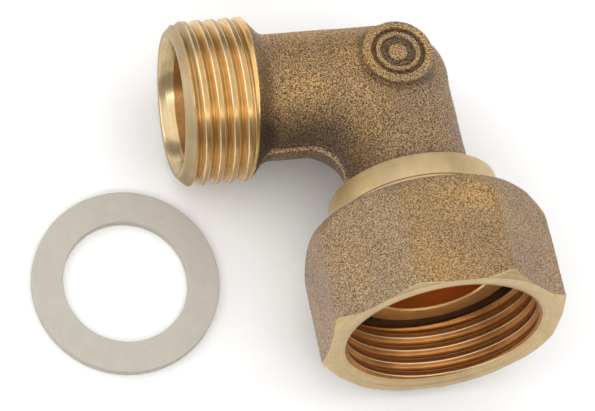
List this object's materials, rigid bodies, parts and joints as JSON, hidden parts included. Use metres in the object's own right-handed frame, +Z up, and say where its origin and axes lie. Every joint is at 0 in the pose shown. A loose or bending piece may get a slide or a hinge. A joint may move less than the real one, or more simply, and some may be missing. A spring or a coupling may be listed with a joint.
{
  "type": "pipe union",
  "caption": "Elbow pipe union: cast brass bend with a male thread on one limb and a loose eight-sided union nut on the other, with its flat gasket.",
  "frame": {"origin": "on the table under the middle of the whole footprint, union and gasket together", "axes": "+Z up; -X along the male limb towards its mouth; the nut's limb runs towards -Y and tips up by 10.2 degrees"},
  "size_m": [0.0624, 0.0488, 0.0313],
  "materials": {
    "cast_brass": "sand-cast skin, turned bright at the ends",
    "nut_brass": "forged skin, turned bright at the mouth",
    "spring_wire": "drawn wire",
    "gasket_sheet": "matte fibre sheet"
  },
  "bodies": {
    "elbow": {"elbow_body": "cast_brass"},
    "nut_ring": {"retaining_ring": "spring_wire"},
    "nut": {"union_nut": "nut_brass"},
    "gasket": {"flat_gasket": "gasket_sheet"}
  },
  "joints": [
    {"name": "nut_swivel", "type": "hinge", "parent": "elbow", "child": "nut_ring", "pos_m": [0.01655, -0.01166, 0.01509], "axis": [0, -0.9841, 0.1775], "continuous": true},
    {"name": "nut_slide", "type": "slide", "parent": "nut_ring", "child": "nut", "axis": [0, -0.9841, 0.1775], "range_m": [-0.0115, 0]},
    {"name": "gasket_lift", "type": "slide", "parent": "elbow", "child": "gasket", "axis": [0, 0, 1], "range_m": [0, 0.045]}
  ]
}
